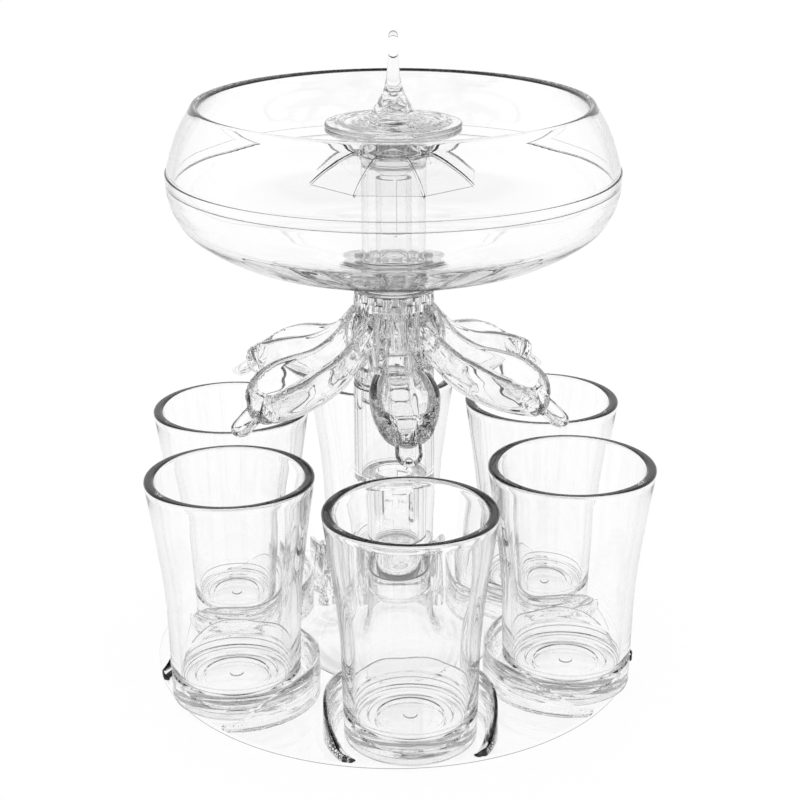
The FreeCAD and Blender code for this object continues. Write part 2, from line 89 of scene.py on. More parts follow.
def outline(corners, closed=True):
    """Corners (r, z) or (r, z, fillet), in millimetres, to plain (r, z) points."""
    points = []
    count = len(corners)
    for i, corner in enumerate(corners):
        inside = closed or 0 < i < count - 1
        if len(corner) == 3 and corner[2] > 0 and inside:
            before, after = corners[i - 1], corners[(i + 1) % count]
            points += arc_points(before[:2], corner[:2], after[:2], corner[2])
        else:
            points.append(tuple(corner[:2]))
    return points


def curve_through(points, per_span=6):
    """A smooth (Catmull-Rom) curve through a few (r, z) points."""
    ends = [2 * Vector(points[0]) - Vector(points[1]), 2 * Vector(points[-1]) - Vector(points[-2])]
    knots = [ends[0]] + [Vector(p) for p in points] + [ends[1]]
    result = []
    for i in range(1, len(knots) - 2):
        p0, p1, p2, p3 = knots[i - 1:i + 3]
        for k in range(per_span):
            t = k / per_span
            result.append(tuple(0.5 * ((2 * p1) + (p2 - p0) * t + (2 * p0 - 5 * p1 + 4 * p2 - p3) * t ** 2
                                       + (3 * p1 - p0 - 3 * p2 + p3) * t ** 3)))
    result.append(tuple(points[-1]))
    return result


print("an L-shaped corner becomes", len(outline([(0, 0), (9, 0, 1), (9, 5)], closed=False)), "points")

# %% From a mesh to an object


def add_object(name, data):
    piece = bpy.data.objects.new(name, data)
    bpy.context.scene.collection.objects.link(piece)
    return piece


def finish_mesh(name, bm, sharp=40):
    """The bmesh as an object in metres, shaded smooth, with only real corners kept sharp."""
    bmesh.ops.remove_doubles(bm, verts=bm.verts, dist=1e-4)
    bmesh.ops.recalc_face_normals(bm, faces=bm.faces)
    mesh = bpy.data.meshes.new(name)
    bm.to_mesh(mesh)
    bm.free()
    mesh.transform(Matrix.Scale(MM, 4))
    mesh.shade_smooth()
    mesh.set_sharp_from_angle(angle=math.radians(sharp))
    return add_object(name, mesh)


print("mesh tools ready")

# %% Lathe


def turn_rings(bm, points, segments, centre=(0, 0)):
    """Adds a closed turned shape; points on the axis become poles."""
    rings = []
    angles = [2 * math.pi * k / segments for k in range(segments)]
    for r, z in points:
        if r < 1e-6:
            rings.append([bm.verts.new((*centre, z))] * segments)
        else:
            rings.append([bm.verts.new((centre[0] + r * math.cos(a), centre[1] + r * math.sin(a), z))
                          for a in angles])
    for i in range(len(rings)):
        lower, upper = rings[i - 1], rings[i]
        for k in range(segments):
            m = (k + 1) % segments
            quad = list(dict.fromkeys((lower[k], lower[m], upper[m], upper[k])))    # a pole counts once
            if len(quad) > 2:
                bm.faces.new(quad)


def lathe(name, points, segments=96, centre=(0, 0)):
    bm = bmesh.new()
    turn_rings(bm, points, segments, centre)
    return finish_mesh(name, bm)


print("lathe ready")

# %% [markdown]
# ## The clear plastics
#
# The real thing is polished acrylic: water-clear, refractive index 1.49, almost no colour. Clear
# plastic looks like nothing until something gives its surface life, so the moulding's slight
# waviness is modelled as a very soft bump, and a second noise varies the roughness as a faint
# haze. A grey absorption inside the solid darkens only long light paths, so thin walls stay
# white while rims and thick bases gather tone, as they do on a real moulding. The splash parts are
# cast with a livelier skin, so they share the recipe with stronger ripples.

# %% Helpers for materials
WHITE = (1, 1, 1, 1)


def new_material(name):
    material = bpy.data.materials.new(name)
    material.use_nodes = True
    nodes = material.node_tree.nodes
    return material, nodes, material.node_tree.links, nodes["Principled BSDF"]


def set_inputs(node, values):
    for name, value in values.items():
        node.inputs[name].default_value = value


def noise_height(nodes, links, coords, scale, detail):
    texture = nodes.new("ShaderNodeTexNoise")
    set_inputs(texture, {"Scale": scale, "Detail": detail})
    links.new(coords.outputs["Object"], texture.inputs["Vector"])
    return texture


def feed_range(nodes, links, value, to_min, to_max, socket):
    """Feeds a value of 0 to 1 into a socket as to_min to to_max."""
    spread = nodes.new("ShaderNodeMapRange")
    set_inputs(spread, {"To Min": to_min, "To Max": to_max})
    links.new(value, spread.inputs["Value"])
    links.new(spread.outputs["Result"], socket)
    return spread


print("material tools ready")

# %% Clear acrylic
ACRYLIC_IOR, INSIDE_GREY, INSIDE_DENSITY = 1.49, (0.5, 0.5, 0.5, 1), 1.2


def clear_acrylic(name, ripple_scale, ripple_mm, haze):
    """Clear moulded acrylic with surface waves ripple_mm high."""
    material, nodes, links, shader = new_material(name)
    set_inputs(shader, {"Base Color": WHITE, "Transmission Weight": 1.0, "IOR": ACRYLIC_IOR})
    coords = nodes.new("ShaderNodeTexCoord")
    wave = noise_height(nodes, links, coords, ripple_scale, 1.0)
    bump = nodes.new("ShaderNodeBump")
    set_inputs(bump, {"Distance": ripple_mm * MM, "Strength": 1.0})
    links.new(wave.outputs["Fac"], bump.inputs["Height"])
    links.new(bump.outputs["Normal"], shader.inputs["Normal"])
    cloud = noise_height(nodes, links, coords, 60.0, 3.0)
    feed_range(nodes, links, cloud.outputs["Fac"], 0.0, haze, shader.inputs["Roughness"])
    volume = nodes.new("ShaderNodeVolumeAbsorption")
    set_inputs(volume, {"Color": INSIDE_GREY, "Density": INSIDE_DENSITY})
    links.new(volume.outputs["Volume"], nodes["Material Output"].inputs["Volume"])
    return material


acrylic = clear_acrylic("polished_acrylic", 25.0, 0.008, 0.004)
glass_acrylic = clear_acrylic("glass_acrylic", 30.0, 0.008, 0.004)
splash_acrylic = clear_acrylic("splash_acrylic", 90.0, 0.03, 0.006)
arm_acrylic = clear_acrylic("arm_acrylic", 70.0, 0.03, 0.006)
print("acrylics:", [m.name for m in (acrylic, glass_acrylic, splash_acrylic, arm_acrylic)])

# %% Soft seal silicone


def silicone(name):
    material, nodes, links, shader = new_material(name)
    set_inputs(shader, {"Transmission Weight": 1.0, "IOR": 1.41})
    coords = nodes.new("ShaderNodeTexCoord")
    grain = noise_height(nodes, links, coords, 900.0, 4.0)
    tone = nodes.new("ShaderNodeValToRGB")
    tone.color_ramp.elements[0].color = (0.90, 0.905, 0.91, 1)
    tone.color_ramp.elements[1].color = (0.97, 0.972, 0.975, 1)
    links.new(grain.outputs["Fac"], tone.inputs["Fac"])
    links.new(tone.outputs["Color"], shader.inputs["Base Color"])
    feed_range(nodes, links, grain.outputs["Fac"], 0.05, 0.16, shader.inputs["Roughness"])
    return material


seal_silicone = silicone("seal_silicone")
print("silicone ready")

# %% Dress a piece


def dress(piece, material, body, slot, *nodes):
    """Give a finished piece its material and its body, and hide the solids it stands for. The slot is not
    used.
    """
    piece.data.materials.append(material)
    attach(piece, body)
    if nodes:
        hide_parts(*nodes)
    return piece


# %% [markdown]
# ## The tray
#
# A plain disc carries everything. A disc has only two flats and one edge, so the lathe makes it from
# a few corners. Underneath, a hair-thin step keeps the rim off the table: the thin grey line round
# the tray is light that this step turns back.

# %% Tray
TRAY_R, TRAY_T = 75.6, 1.6
STEP_W, STEP_H = 0.8, 0.08
tray = lathe("tray", outline([(0, 0), (TRAY_R - STEP_W, 0), (TRAY_R - STEP_W, STEP_H), (TRAY_R, STEP_H, 0.1),
                              (TRAY_R, TRAY_T, 0.3), (0, TRAY_T)], False), 160)
dress(tray, acrylic, "base", "tray_acrylic", "tray")
print("tray radius", TRAY_R)

# %% [markdown]
# ## Shot glasses
#
# Each glass is a flared tumbler. It has a thick base with a groove round the outside, a recess
# underneath and a small step in its floor, all of which show through the wall as rings. The outline
# goes up the outside, over the round rim and down the inside, so one closed lathe gives the wall
# its true thickness. That thickness makes the rim read as a dark ring.

# %% Shot glasses
PITCH_R = 58.4
GLASS_Z = 1.9
GLASS_H = 70.6


def place(i):
    """Direction angle of place i (0 to 5): the first is at -Y, then on towards +X."""
    return math.radians(-90 + 60 * i)


def glass_outline():
    g = GLASS_Z
    outside = curve_through([(19.7, g + 11.6), (19.8, g + 20), (20.15, g + 30), (20.95, g + 40),
                             (22.3, g + 51), (23.85, g + 62), (24.8, g + 68.6)])
    inside = curve_through([(21.9, g + 68.2), (20.9, g + 62), (19.5, g + 51), (18.2, g + 40),
                            (17.45, g + 30), (17.1, g + 20), (16.9, g + 10.5)])
    rim = outline([outside[-1], (25.0, g + GLASS_H, 1.3), (21.9, g + GLASS_H, 1.3), inside[0]], False)
    base = outline([(0, g + 2.2), (9.8, g + 2.2, 0.4), (10.6, g + 1.5, 0.4), (16.2, g + 1.5, 0.5),
                    (17.0, g, 0.4), (19.4, g, 0.9), (19.55, g + 8.4, 0.3), (19.0, g + 9.0, 0.3),
                    (19.0, g + 10.2, 0.3), (19.7, g + 10.9, 0.3), (19.7, g + 11.6)], False)
    floor = outline([(16.9, g + 10.5), (16.6, g + 7.0, 1.8), (12.7, g + 7.0, 0.4), (12.2, g + 6.3, 0.4),
                     (10.2, g + 6.3, 0.3), (9.8, g + 6.1, 0.3), (2.1, g + 6.1, 0.2), (1.9, g + 6.4, 0.2),
                     (0, g + 6.4)], False)
    return base[:-1] + outside + rim[1:-1] + inside + floor[1:]


for i in range(6):
    centre = (PITCH_R * math.cos(place(i)), PITCH_R * math.sin(place(i)))
    glass = lathe("shot_glass_%d_body" % (i + 1), glass_outline(), centre=centre)
    dress(glass, glass_acrylic, "glass_%d" % (i + 1), "glass_acrylic", "shot_glass_%d" % (i + 1))
print("glass outline points", len(glass_outline()))

# %% [markdown]
# ## The bowl
#
# The bowl is moulded as two halves that lap at the widest line, so two fine lines run round it.
# Both are turned from a few measured points, and the inner wall is the outer one moved in by the
# wall thickness. An even wall keeps the bowl clear: one that changes thickness works as a lens.

# %% Lower half of the bowl
BOWL_T = 2.2
SEAM_Z0, SEAM_Z1 = 154.2, 156.7
SEAT_Z = 125.0


def moved_in(points, d):
    """The outline moved sideways by d millimetres, to the left of its direction."""
    result = []
    for i, (r, z) in enumerate(points):
        r0, z0 = points[max(i - 1, 0)]
        r1, z1 = points[min(i + 1, len(points) - 1)]
        k = math.hypot(r1 - r0, z1 - z0)
        result.append((r - (z1 - z0) / k * d, z + (r1 - r0) / k * d))
    return result


low_out = curve_through([(14.0, 122.0), (20.0, 124.2), (31.8, 127.9), (44.0, 131.2), (52.6, 134.6),
                         (61.3, 140.4), (65.0, 146.2), (66.4, 151.0), (66.7, SEAM_Z0)])
low_in = [p for p in moved_in(low_out, BOWL_T) if 17.5 < p[0] and p[1] < SEAM_Z0 - 0.9]
SPIGOT_Z, SHOULDER_Z = 114.2, 120.52
lower = outline([(7.8, SPIGOT_Z, 0.3), (9.7, SPIGOT_Z, 0.3), (9.7, SHOULDER_Z, 0.2), (12.0, SHOULDER_Z, 0.2),
                 (12.0, 121.4, 0.4), low_out[0]], False)
lower += low_out + outline([low_out[-1], (66.7, SEAM_Z1, 0.2), (66.05, SEAM_Z1, 0.2),
                            (66.05, SEAM_Z0 - 0.6, 0.2), low_in[-1]], False)[1:-1]
lower += low_in[::-1]
lower += outline([low_in[0], (16.4, SEAT_Z, 0.5), (7.8, SEAT_Z, 0.6), (7.8, SPIGOT_Z)], False)[1:-1]
bowl_lower = lathe("bowl_lower_half", lower, 192)
dress(bowl_lower, acrylic, "head", "bowl_acrylic", "bowl_lower")
print("lower half:", len(lower), "points in its outline")

# %% Upper half of the bowl
up_out = curve_through([(66.3, SEAM_Z1 + 0.3), (65.4, 160.6), (63.9, 165.2), (62.0, 169.6), (59.1, 174.5)])
up_in = moved_in(up_out, BOWL_T)
upper = outline([(64.1, SEAM_Z0 - 0.5, 0.3), (65.85, SEAM_Z0 - 0.5, 0.3), (65.85, SEAM_Z1 + 0.1, 0.1),
                 (66.3, SEAM_Z1 + 0.1, 0.1), up_out[1]], False)[:-1]
upper += up_out[1:] + outline([up_out[-1], (58.15, 176.15, 0.8), (56.4, 175.3, 0.8), up_in[-1]], False)[1:-1]
upper += up_in[::-1]
bowl_upper = lathe("bowl_upper_half", upper, 192)
dress(bowl_upper, acrylic, "head", "bowl_acrylic", "bowl_upper")
print("upper half:", len(upper), "points in its outline")

# %% Neck gasket
gasket = lathe("neck_gasket_ring", outline([(9.95, 119.45, 0.3), (12.0, 119.45, 0.45), (12.0, 120.47, 0.45),
                                            (9.95, 120.47, 0.3)]))
dress(gasket, seal_silicone, "head", "seal_silicone", "neck_gasket")
print("gasket made")

# %% [markdown]
# ## The column: pedestal, post and sleeve
#
# The tray's column is a bell that swells out of the tray like water, a closed tube that stands in
# it, and the wider sleeve of the lift-off head. All three are turned. The twist lock needs real
# openings, so the sleeve's spigot is a curved wall of small panels, with each pocket and entry left
# out. That is cleaner than cutting a solid, because every panel stays a square.

# %% Pedestal
TRAY_TOP = TRAY_T + 0.02
BELL_TOP, SOCKET_R, SOCKET_Z, NECK_R = 30.2, 10.7, 21.4, 9.2
bell = curve_through([(12.95, 29.6), (13.1, 25.5), (13.8, 18.0), (15.5, 11.0), (19.9, 5.4), (25.9, 2.6),
                      (30.3, 1.75)])
bell_in = curve_through([(24.6, TRAY_TOP), (17.7, 4.5), (13.3, 9.9), (11.6, 16.9), (10.9, 22.6)], 5)
BORE_R, SOCKET_FLOOR = NECK_R + 0.1, SOCKET_Z + 1.1
pedestal_line = outline([(BORE_R, BELL_TOP, 0.3), (12.95, BELL_TOP, 0.9), bell[1]], False)[:-1] + bell[1:]
pedestal_line += [(30.4, TRAY_TOP)] + bell_in + [(SOCKET_R, SOCKET_Z + 0.7)]
pedestal_line += outline([(SOCKET_R, SOCKET_Z + 0.7), (SOCKET_R, SOCKET_Z, 0.5), (0, SOCKET_Z)], False)[1:]
pedestal_line += outline([(0, SOCKET_FLOOR), (BORE_R, SOCKET_FLOOR, 0.5), (BORE_R, BELL_TOP)], False)[:-1]
pedestal = lathe("pedestal_bell", pedestal_line, 112)
dress(pedestal, acrylic, "base", "column_acrylic", "pedestal")
print("pedestal points", len(pedestal_line))

# %% Post with its two lugs
LUG_Z, LUG_H, LUG_W, LUG_AT = 51.2, 2.2, 2.4, -112.4


def add_panel_block(bm, r0, r1, a0, a1, z0, z1, steps=4):
    """A solid block that follows the curve of a tube, used for the lugs."""
    rows = []
    for k in range(steps + 1):
        a = a0 + (a1 - a0) * k / steps
        rows.append([bm.verts.new((r * math.cos(a), r * math.sin(a), z))
                     for r, z in ((r0, z0), (r1, z0), (r1, z1), (r0, z1))])
    for k in range(steps):
        for m in range(4):
            n = (m + 1) % 4
            bm.faces.new((rows[k][m], rows[k][n], rows[k + 1][n], rows[k + 1][m]))
    bm.faces.new(rows[0])
    bm.faces.new(rows[-1][::-1])


POST_R, POST_TOP, POST_BORE_R, POST_FLOOR, POST_END = 10.7, 58.4, 7.85, 38.3, 22.65
shoulder = curve_through([(NECK_R, 30.5), (10.2, 31.4), (POST_R, 33.5)], 5)
post_line = outline([(0, POST_END), (NECK_R, POST_END, 0.9), shoulder[0]], False)[:-1] + shoulder
post_line += outline([shoulder[-1], (POST_R, POST_TOP, 0.3), (POST_BORE_R, POST_TOP, 0.2),
                      (POST_BORE_R, POST_FLOOR, 1.2), (0, POST_FLOOR)], False)[1:]
bm = bmesh.new()
turn_rings(bm, post_line, 96)
for side in (0, 180):
    at, spread = math.radians(LUG_AT + side), LUG_W / 2 / 7.2
    add_panel_block(bm, 6.35, 7.9, at - spread, at + spread, LUG_Z, LUG_Z + LUG_H)
post = finish_mesh("post_tube", bm)
dress(post, acrylic, "base", "column_acrylic", "post")
print("post made")

# %% A tube wall of square panels


def panel_wall(bm, r_out, r_in, heights, step_deg, missing):
    """A tube wall of square panels. missing(angle_deg, z) says which panels are open."""
    count = int(360 / step_deg)
    grid = {}

    def corner(k, m, r):
        key = (k % count, m, r)
        if key not in grid:
            a = math.radians((k % count) * step_deg)
            grid[key] = bm.verts.new((r * math.cos(a), r * math.sin(a), heights[m]))
        return grid[key]

    def solid(k, m):
        if not 0 <= m < len(heights) - 1:
            return False
        return not missing(((k % count) + 0.5) * step_deg, (heights[m] + heights[m + 1]) / 2)

    for k in range(count):
        for m in range(len(heights) - 1):
            if not solid(k, m):
                continue
            square = [(k, m), (k + 1, m), (k + 1, m + 1), (k, m + 1)]
            bm.faces.new([corner(*at, r_out) for at in square])
            bm.faces.new([corner(*at, r_in) for at in square[::-1]])
            for dk, dm, start, end in ((-1, 0, 0, 3), (1, 0, 2, 1), (0, -1, 1, 0), (0, 1, 3, 2)):
                if not solid(k + dk, m + dm):
                    edge = square[start], square[end]
                    bm.faces.new([corner(*at, r_out) for at in edge]
                                 + [corner(*at, r_in) for at in edge[::-1]])


print("panel wall ready")

# %% Column sleeve with the spigot of the twist lock
SPIGOT_R, SPIGOT_WALL = 7.75, 1.75
POCKET = (-22, 10, 47.6, 57.9)      # degrees from the lug, heights: where the lug waits
ENTRY = (10, 61, 45.3, 55.4)        # the way in beside it, open below


def angle_from(start, angle):
    """From start to angle, in degrees between -180 and 180."""
    return (angle - start + 180) % 360 - 180


def lock_opening(angle, z):
    """True inside a pocket or an entry of the twist lock."""
    for side in (0, 180):
        a = angle_from(LUG_AT + side, angle)
        for from_deg, to_deg, z0, z1 in (POCKET, ENTRY):
            if from_deg < a < to_deg and z0 < z < z1:
                return True
    return False


SLEEVE_R, SLEEVE_BORE_R, SLEEVE_Z0, SLEEVE_Z1 = 12.4, 10.2, 58.8, 89.9
sleeve_line = outline([(6.0, SLEEVE_Z0, 0.15), (SLEEVE_R, SLEEVE_Z0, 0.2), (SLEEVE_R, SLEEVE_Z1, 0.3),
                       (SLEEVE_BORE_R, SLEEVE_Z1, 0.2), (SLEEVE_BORE_R, 61.0, 0.2), (6.0, 61.0, 0.15)])
bm = bmesh.new()
turn_rings(bm, sleeve_line, 96)
panel_wall(bm, SPIGOT_R, SPIGOT_R - SPIGOT_WALL, [45.3, 46.4, 47.6, 51.5, 55.4, 57.9, 58.75], 2, lock_opening)
sleeve = finish_mesh("column_sleeve_tube", bm)
dress(sleeve, acrylic, "head", "column_acrylic", "column_sleeve")
print("sleeve panels:", len(sleeve.data.polygons))

# %% [markdown]
# ## The hub
#
# The hub is the chamber that shares the drink out. Its wall has one square window per arm. The
# panel wall of the twist lock makes the windows too, and a turned floor with a plug for the sleeve
# closes it below. Its outside is cast to look like running water: the outer points are drawn in by
# a ripple, and the top edge is cut into blocks. Moving points after the wall is built keeps every
# window square.

# %% Manifold hub
HUB_R, HUB_R_IN = 12.2, 9.8
WIN_W, WIN_Z0, WIN_Z1 = 5.8, 95.6, 102.8


def hub_window(angle, z):
    half = math.degrees(WIN_W / 2 / HUB_R)
    nearest = min(abs(angle_from(math.degrees(place(i)), angle)) for i in range(6))
    return nearest < half and WIN_Z0 < z < WIN_Z1


HUB_TOP, BLOCKS_Z, BLOCKS, RIDGES = 119.4, 117.0, 15, 44
levels = [92.0, 93.8] + [WIN_Z0 + 1.2 * k for k in range(7)] + [WIN_Z1 + 1.4 * k for k in range(1, 11)]
levels += [BLOCKS_Z, BLOCKS_Z + 0.15, HUB_TOP]
bm = bmesh.new()
panel_wall(bm, HUB_R, HUB_R_IN, levels, 1.5, hub_window)
print("hub wall:", len(bm.faces), "panels")

# %% The hub's skin and floor


def ramp(value, start, end):
    """0 at start, 1 at end, clamped."""
    return max(0.0, min(1.0, (value - start) / (end - start)))


def drawn_in(angle, z):
    """How far the hub's skin stands back from its full radius, in millimetres."""
    if z > BLOCKS_Z + 0.1:
        return 1.1 if math.sin(BLOCKS * angle + 0.7) > 0.25 else 0.1
    sway = 2.0 * noise.noise(Vector((3 * math.cos(angle), 3 * math.sin(angle), z / 14)))
    ripple = 0.5 + 0.5 * math.sin(RIDGES * angle + 3 * sway)
    return ramp(z, 93.0, 96.0) * (0.05 + 0.6 * ripple ** 2)


for vertex in bm.verts:
    if vertex.co.xy.length > HUB_R - 0.1:
        vertex.co.xy *= 1 - drawn_in(math.atan2(vertex.co.y, vertex.co.x), vertex.co.z) / HUB_R
hub_floor = outline([(5.35, 90.9, 0.2), (5.35, 91.95, 0.2), (HUB_R, 91.95), (HUB_R, 90.0, 0.3),
                     (10.1, 90.0, 0.2), (10.1, 85.0, 0.5), (7.6, 85.0, 0.5), (7.6, 90.2, 0.5), (0, 90.2),
                     (0, 90.9)], False)
turn_rings(bm, hub_floor, 120)
hub = finish_mesh("manifold_hub_wall", bm)
dress(hub, acrylic, "head", "column_acrylic", "manifold_hub")
print("hub panels:", len(hub.data.polygons))

# %% [markdown]
# ## Casting water: shapes from a distance function
#
# The arms and the splashes are frozen water: every edge is round and parts flow into each other.
# Subdivided cages get there slowly, and unions of solids leave seams that clear plastic shows. So
# these pieces are described by a function that is negative inside the plastic. Smooth minimum and
# maximum join and cut the shapes with a round edge. A surface net then lays a skin of squares on
# the zero level, and each point is settled exactly onto it, so that light bends cleanly.

# %% Joining and cutting with round edges


def round_max(a, b, size):
    """The larger of both, with the corner rounded: cuts one shape by another."""
    close = np.maximum(size - np.abs(a - b), 0) / size
    return np.maximum(a, b) + close * close * size / 4


def round_min(a, b, size):
    """The smaller of both, with the corner filled: joins two shapes."""
    return -round_max(-a, -b, size)


print("two shapes 1 mm apart, joined over 2 mm:", round_min(1.0, 0.0, 2.0))

# %% Squares of a net


def net_squares(inside, number):
    """One square for each grid edge that leaves the shape, turned to face outwards."""
    squares = []
    for axis in range(3):
        u, v = (axis + 1) % 3, (axis + 2) % 3
        near, far = [slice(1, -1)] * 3, [slice(1, -1)] * 3
        near[axis], far[axis] = slice(0, -1), slice(1, None)
        first, second = inside[tuple(near)], inside[tuple(far)]
        at = np.argwhere(first != second)
        at[:, u] += 1
        at[:, v] += 1
        step_u, step_v = np.eye(3, dtype=int)[u], np.eye(3, dtype=int)[v]
        corners = (at - step_u - step_v, at - step_v, at, at - step_u)
        square = np.stack([number[tuple(c.T)] for c in corners], axis=1)
        entering = ~first[first != second]
        square[entering] = square[entering][:, ::-1]
        squares.append(square)
    return np.concatenate(squares)


print("net squares ready")

# %% Surface net


def surface_net(shape, low, high, step):
    """Points and squares of the surface where shape(points) changes sign, in the box low to high."""
    axes = [np.arange(a, b + step, step) for a, b in zip(low, high)]
    grid = np.stack(np.meshgrid(*axes, indexing="ij"), axis=-1)
    field = shape(grid.reshape(-1, 3)).reshape(grid.shape[:3])
    cells = tuple(n - 1 for n in field.shape)
    total, count = np.zeros(cells + (3,)), np.zeros(cells)
    for axis in range(3):
        for a, b in ((0, 0), (0, 1), (1, 0), (1, 1)):
            start = np.insert([a, b], axis, 0)
            end = start + np.eye(3, dtype=int)[axis]
            first, second = (field[tuple(slice(o, o + c) for o, c in zip(corner, cells))]
                             for corner in (start, end))
            crossed = (first < 0) != (second < 0)
            share = first / np.where(crossed, first - second, 1)
            here = np.zeros(cells + (3,)) + start
            here[..., axis] += share
            total += here * crossed[..., None]
            count += crossed
    used = count > 0
    number = np.full(cells, -1)
    number[used] = np.arange(used.sum())
    points = np.array(low) + (np.argwhere(used) + total[used] / count[used][:, None]) * step
    return points, net_squares(field < 0, number)


ball = surface_net(lambda p: np.linalg.norm(p, axis=1) - 2.0, (-3, -3, -3), (3, 3, 3), 0.5)
ball_r = float(np.linalg.norm(ball[0], axis=1).mean())
print("a test ball has", len(ball[0]), "points at", round(ball_r, 2), "mm")

# %% Settle the points and roughen the skin


def settle(points, squares, shape, step, rounds=3):
    """Spreads the points evenly and puts each one exactly onto the surface."""
    for _ in range(rounds):
        points = 0.5 * points + 0.5 * around(points[squares].mean(axis=1), squares, len(points))
        slope = np.stack([(shape(points + 0.02 * e) - shape(points - 0.02 * e)) / 0.04 for e in np.eye(3)], 1)
        move = shape(points)[:, None] * slope / np.maximum((slope ** 2).sum(axis=1), 1e-3)[:, None]
        length = np.maximum(np.linalg.norm(move, axis=1), 1e-9)[:, None]
        points = points - move * np.minimum(1, 0.5 * step / length)
    return points


def around(values, squares, count):
    """For each point, the mean of the values of the squares that share it."""
    total, shares = np.zeros((count, 3)), np.zeros(count)
    for k in range(4):
        np.add.at(total, squares[:, k], values)
        np.add.at(shares, squares[:, k], 1)
    return total / shares[:, None]


def roughen(points, squares, height):
    """Moves each point out along its normal by height(point), in millimetres."""
    across = points[squares[:, 2]] - points[squares[:, 0]]
    along = points[squares[:, 3]] - points[squares[:, 1]]
    normals = around(np.cross(across, along), squares, len(points))
    normals /= np.maximum(np.linalg.norm(normals, axis=1), 1e-9)[:, None]
    return points + normals * np.array([height(Vector(p)) for p in points])[:, None]


print("skin tools ready")

# %% Sculpt once, cast many times


def sculpt(shape, low, high, step, height):
    points, squares = surface_net(shape, low, high, step)
    points = settle(points, squares, shape, step)
    return roughen(points, squares, height), squares


def cast(name, sculpture, angle):
    """A piece from a sculpture, turned about the axis to its place."""
    points, squares = sculpture
    mesh = bpy.data.meshes.new(name)
    mesh.from_pydata(points.tolist(), [], squares.tolist())
    mesh.transform(Matrix.Rotation(angle, 4, "Z") @ Matrix.Scale(MM, 4))
    mesh.shade_smooth()
    return add_object(name, mesh)


def swell(point, size, seed=0.0):
    """Smooth noise between about -1 and 1, stretched by the three sizes."""
    return noise.noise(Vector((point.x / size[0] + seed, point.y / size[1], point.z / size[2])))


print("noise at one point:", round(swell(Vector((0.5, 0.5, 0.5)), (1, 1, 1)), 3))

# %% [markdown]
# ## The spout arms
#
# Each arm is a frozen tongue of water: a deep boat with thick sides that leaves the hub steeply,
# runs out level and ends in a blunt wall, with a small spoon below it from which the drink drops.
# The boat is a D-shaped hull minus a channel that is narrow at its floor and flares up to round rims.
# Both follow a few stations along the arm, read as smooth curves. The outside is smooth, but ridges
# like icicles run down the root and the blunt end froths up, so the roughness depends on the place.

# %% Arm stations
# distance from the axis, half width, rim height, keel height
ARM = [(10.4, 5.9, 115.6, 97.2), (15.5, 6.2, 109.6, 95.2), (19.0, 6.5, 106.6, 91.8), (25.0, 7.4, 103.4, 88.8),
       (31.5, 9.0, 102.2, 87.0), (37.5, 10.1, 100.8, 86.2), (43.0, 9.7, 98.6, 86.0), (46.8, 8.3, 96.0, 86.2),
       (50.5, 6.2, 92.2, 86.8)]
CHANNEL_HALF = [(12.0, 2.6), (20.0, 2.7), (30.0, 2.8), (37.0, 2.9), (47.0, 2.9)]
RIM_THICK = 3.0
CHANNEL_FLOOR, CHANNEL_START, ARM_END, CHANNEL_END = 3.0, 15.5, 49.0, 46.0


def along_arm(u, column):
    curve = np.array(curve_through([(s[0], s[column]) for s in ARM]))
    return np.interp(u, curve[:, 0], curve[:, 1])


def leaf(v, z, half, top, keel):
    """About the distance to a D-shaped section: upright sides at the top, round below."""
    depth = top - keel
    down = np.maximum(top - z, 0) / depth
    return (((v / half) ** 2 + down ** 2.5) ** 0.45 - 1) * np.minimum(half, depth)


print("the widest station is", max(s[1] for s in ARM) * 2, "mm wide")

# %% The spoon under the end wall
SPOON_START, SPOON_TIP = np.array((46.6, 0, 92.2)), np.array((53.3, 0, 87.0))
SPOON_HALF, SPOON_DEPTH, SPOON_LIP, SPOON_WALL = 3.8, 2.7, 1.1, 1.15
DRIP_R = 1.3


def spoon(points):
    """The trough below the end wall and the groove in it, as two distances."""
    run, out = SPOON_TIP - SPOON_START, points - SPOON_START
    length = np.linalg.norm(run)
    along = out @ (run / length)
    height = out[:, 0] * -run[2] / length + out[:, 2] * run[0] / length
    across = np.hypot(points[:, 1], np.maximum(along - length, 0))
    outer = (np.hypot(across / SPOON_HALF, height / SPOON_DEPTH) - 1) * SPOON_DEPTH
    outer = np.maximum(round_max(outer, height - SPOON_LIP, 0.5), -along - 1)
    half, deep = SPOON_HALF - SPOON_WALL, SPOON_DEPTH - SPOON_WALL
    groove = (np.hypot(across / half, np.minimum(height, 0) / deep) - 1) * deep
    return outer, np.maximum(np.maximum(groove, height - 2.6), -along - 3)


print("the spoon reaches", SPOON_TIP[0], "mm out")

# %% The arm as one distance


def arm_shape(points):
    u, v, z = points.T
    half, top, keel = (along_arm(u, column) for column in (1, 2, 3))
    hull = round_max(leaf(v, z, half, top, keel), z - top, 1.2)
    hull = round_max(hull, u - ARM_END, 2.5)
    low, deep = np.interp(u, *zip(*CHANNEL_HALF)), top - keel - CHANNEL_FLOOR
    flare = (half - RIM_THICK - low) / deep
    above = z - keel - CHANNEL_FLOOR
    side = (np.abs(v) - low - flare * np.clip(above, 0, deep + 3)) / np.hypot(1, flare)
    channel = round_max(round_max(side, -above, 2.0), u - CHANNEL_END, 3.0)
    channel = round_max(channel, CHANNEL_START - u, 0.3)
    body = round_max(hull, -channel, 1.4)
    trough, groove = spoon(points)
    body = round_max(round_min(body, trough, 0.8), -groove, 0.5)
    drip = np.maximum(np.hypot(u - SPOON_TIP[0], v) - DRIP_R, z - SPOON_TIP[2])
    body = round_max(body, -drip, 0.4)
    throat = np.maximum(np.maximum(np.abs(v) - WIN_W / 2, np.abs(z - 99.4) - 3.4), u - 17)
    body = round_max(body, -throat, 0.2)
    return np.maximum(body, HUB_R + 0.02 - np.hypot(u, v))


print("distance in the middle of the keel:", arm_shape(np.array([[30.0, 0.0, 88.5]])).round(2))

